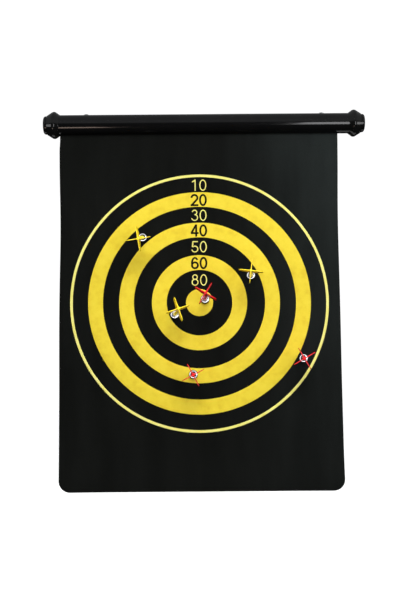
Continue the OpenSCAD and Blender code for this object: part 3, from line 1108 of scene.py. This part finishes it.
def cup_part():
    """Pressed and plated cup: rolled lip, straight wall, round shoulder, flat back with a hole."""
    lip, hole_r = 0.22 * MM, 1.5 * MM
    wall = CUP_R - MAGNET_R
    profile = [(hole_r, MAGNET_T), (MAGNET_R, MAGNET_T)]
    profile += [(MAGNET_R, CUP_FRONT + lip)]
    profile += arc((MAGNET_R + wall / 2, CUP_FRONT + lip), wall / 2, 180, 360, 10)
    profile += arc((CUP_R - CUP_SHOULDER, CUP_BACK - CUP_SHOULDER), CUP_SHOULDER, 0, 90, 16)
    profile += [(hole_r, CUP_BACK)]
    return lathe(profile, 96, closed=True)


def magnet_part():
    """Plated disc magnet with a domed face and a small chamfer."""
    dome_edge, play, rim, chamfer, back_gap = 3.9 * MM, 0.03 * MM, 0.2 * MM, 0.1 * MM, 0.02 * MM
    fit = MAGNET_R - play
    profile = dome(MAGNET_DOME_R, dome_edge)
    profile += [(fit, profile[-1][1] + rim), (fit, MAGNET_T - chamfer)]
    profile += [(fit - chamfer, MAGNET_T - back_gap), (0, MAGNET_T - back_gap)]
    return lathe(profile, 72)


def darts():
    """The darts. Their flights aren't mirrored in the other pieces."""
    flight = join_parts([barrel_part()] + [fin_part(TAU / 4 * k) for k in range(4)])
    parts = {"flight": flight, "cup": cup_part(), "magnet": magnet_part()}
    finishes = {"cup": ("cup_chrome", CHROME), "magnet": ("magnet_nickel", NICKEL)}
    node_slots = {s["node"]: s["material_slot"] for s in frame["record"]["subparts"]}
    plastics = {"dart_yellow": YELLOW_PLASTIC, "dart_red": RED_PLASTIC}
    for number, place in enumerate(DART_PLACES, 1):
        flight_slot = node_slots[f"dart_{number}_flight"]
        for part, (points, faces) in parts.items():
            slot, made = finishes.get(part, (flight_slot, plastics[flight_slot]))
            name = f"dart_{number}_{part}_finished"
            mesh = mesh_from(name, [place @ Vector(p) for p in points], faces)
            piece = new_piece(name, mesh, f"dart_{number}", made, 35)
            piece.visible_glossy = part != "flight"
            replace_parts(piece, f"dart_{number}_{part}")


# ---- Stage ----

def camera():
    """The view: a metre in front, a little over half way down, looking slightly up."""
    upward, lean = 3.29, -0.45
    data = bpy.data.cameras.new("view")
    data.sensor_width = 36
    data.lens = 52.71
    data.clip_end = 50
    seen = bpy.data.objects.new("view", data)
    seen.location = AXIS + Vector((-5.5, -1000, -260.65)) * MM
    tilt = Matrix.Rotation(math.radians(90 + upward), 4, "X")
    roll = Matrix.Rotation(math.radians(lean), 4, "Z")
    seen.rotation_euler = (tilt @ roll).to_euler()
    bpy.context.scene.collection.objects.link(seen)
    bpy.context.scene.camera = seen


def area_light(name, place, target, size, power, colour=(1, 1, 1)):
    """A soft oblong lamp turned towards a target."""
    data = bpy.data.lights.new(name, "AREA")
    data.shape = "RECTANGLE"
    data.size, data.size_y = size
    data.energy = power
    data.color = colour
    lamp = bpy.data.objects.new(name, data)
    lamp.location = place
    lamp.rotation_euler = (Vector(target) - Vector(place)).to_track_quat("-Z", "Y").to_euler()
    lamp.visible_camera = False
    bpy.context.scene.collection.objects.link(lamp)
    return lamp


def only_darts(lamp):
    """Lets a lamp reach the darts alone."""
    if "darts_only" not in bpy.data.collections:
        group = bpy.data.collections.new("darts_only")
        for piece in bpy.data.objects:
            if piece.name.startswith("dart_") and piece.name.endswith("_finished"):
                group.objects.link(piece)
    lamp.light_linking.receiver_collection = bpy.data.collections["darts_only"]


def floor():
    """A pale round floor, well below the hung board. It lights nothing and isn't mirrored."""
    level, reach, rings, steps = -0.78, 7.0, 10, 72
    points, faces = [(0, 0, level)], []
    for k in range(1, rings + 1):
        for i in range(steps):
            angle = TAU * i / steps
            radius = reach * (k / rings) ** 1.5
            points.append((radius * math.cos(angle), radius * math.sin(angle), level))
    for i in range(steps):
        faces.append((0, 1 + i, 1 + (i + 1) % steps))
    for k in range(rings - 1):
        for i in range(steps):
            j = (i + 1) % steps
            low, high = 1 + k * steps, 1 + (k + 1) * steps
            faces.append((low + i, high + i, high + j, low + j))
    ground = bpy.data.objects.new("floor", mesh_from("floor", points, faces, False))
    made = material("floor_paper", (0.93, 0.93, 0.925), 0.9)
    tint(made, noise(made, coordinates(made), 3, 2), [(0.3, (0.92,) * 3), (0.7, (0.94,) * 3)])
    ground.data.materials.append(made)
    ground.visible_glossy = False
    ground.visible_diffuse = False
    bpy.context.scene.collection.objects.link(ground)


def world():
    """The camera sees it white. As light it is a soft dome, dark below and brightest low down."""
    sky = bpy.data.worlds.new("studio")
    bpy.context.scene.world = sky
    sky.use_nodes = True
    sky.node_tree.nodes.clear()
    place = add_node(sky, "ShaderNodeTexCoord").outputs["Generated"]
    height = add_node(sky, "ShaderNodeSeparateXYZ", Vector=place).outputs["Z"]
    # Brightness by height, from the horizon to straight overhead
    stops = [(0.0, 0.025), (0.12, 0.10), (0.24, 0.33), (1.0, 0.20)]
    shade = ramp(sky, height, [(z, (0.97 * v, v, 1.02 * v)) for z, v in stops])
    glow = add_node(sky, "ShaderNodeBackground", Color=shade).outputs[0]
    white = add_node(sky, "ShaderNodeBackground", Color=(1, 1, 1, 1), Strength=1.05).outputs[0]
    by_camera = add_node(sky, "ShaderNodeLightPath").outputs["Is Camera Ray"]
    choose = add_node(sky, "ShaderNodeMixShader")
    for socket, value in zip(choose.inputs, (by_camera, glow, white)):
        sky.node_tree.links.new(value, socket)
    add_node(sky, "ShaderNodeOutputWorld", Surface=choose.outputs[0])


def lights():
    """Broad lamps that only shade, small ones the plastic mirrors, four for the darts, a sun."""
    centre = Vector((MAT_X, FACE_Y, (MAT_TOP + MAT_BOTTOM) / 2))
    broad = [
        ("key_left", (-1.5, -1.7, 1.0), (1.6, 1.6), 10, (1, 0.99, 0.97)),
        ("key_right", (1.6, -1.6, 0.9), (1.6, 1.6), 10, (0.98, 0.99, 1)),
        ("front_high", (0.1, -1.3, 0.75), (1.0, 0.6), 17, (1, 1, 1)),
        ("back_left", (-1.4, 1.6, 0.9), (1.5, 1.5), 9, (1, 1, 1)),
        ("back_right", (1.4, 1.7, 0.7), (1.5, 1.5), 9, (1, 1, 1)),
    ]
    for name, place, size, power, colour in broad:
        area_light(name, place, centre, size, power, colour).visible_glossy = False
    area_light("side_left", (-1.75, -0.51, -0.14), AXIS, (0.3, 0.4), 1.0)
    area_light("side_right", (1.75, -0.51, -0.14), AXIS, (0.3, 0.4), 1.2)
    area_light("low_left", (-0.36, -0.85, -0.735), AXIS, (0.27, 0.165), 0.60, (1, 0.77, 0.64))
    area_light("low_right", (0.34, -0.79, -0.19), AXIS, (0.30, 0.34), 1.5, (0.98, 0.98, 1))
    area_light("low_behind", (0, 0.35, -0.72), AXIS, (1.3, 0.3), 1.0)
    dial_centre = (0, FACE_Y, DIAL_Z)
    # Most of fill_low is under the floor. Its upper edge alone lights the darts from below
    for name, place, size, power in (
        ("glint_left", (-1.0, -0.55, DIAL_Z), (1.2, 1.8), 8),
        ("glint_right", (1.0, -0.55, DIAL_Z), (1.2, 1.8), 8),
        ("glint_high", (0, -0.5, 0.7), (1.6, 0.6), 4),
        ("fill_low", (0, -0.9, -0.95), (1.2, 0.6), 6),
    ):
        only_darts(area_light(name, place, dial_centre, size, power))
    # Straight down: it whitens the floor and leaves the upright mat almost as it is
    data = bpy.data.lights.new("sun", "SUN")
    data.energy = 3.1
    data.angle = math.radians(20)
    sun = bpy.data.objects.new("sun", data)
    sun.visible_glossy = False
    bpy.context.scene.collection.objects.link(sun)


def look():
    """Colours as they are, with no film curve."""
    bpy.context.scene.view_settings.view_transform = "Standard"
    bpy.context.scene.view_settings.look = "None"


camera()
world()
floor()
look()
mat_pieces()
dial()
header()
darts()
lights()
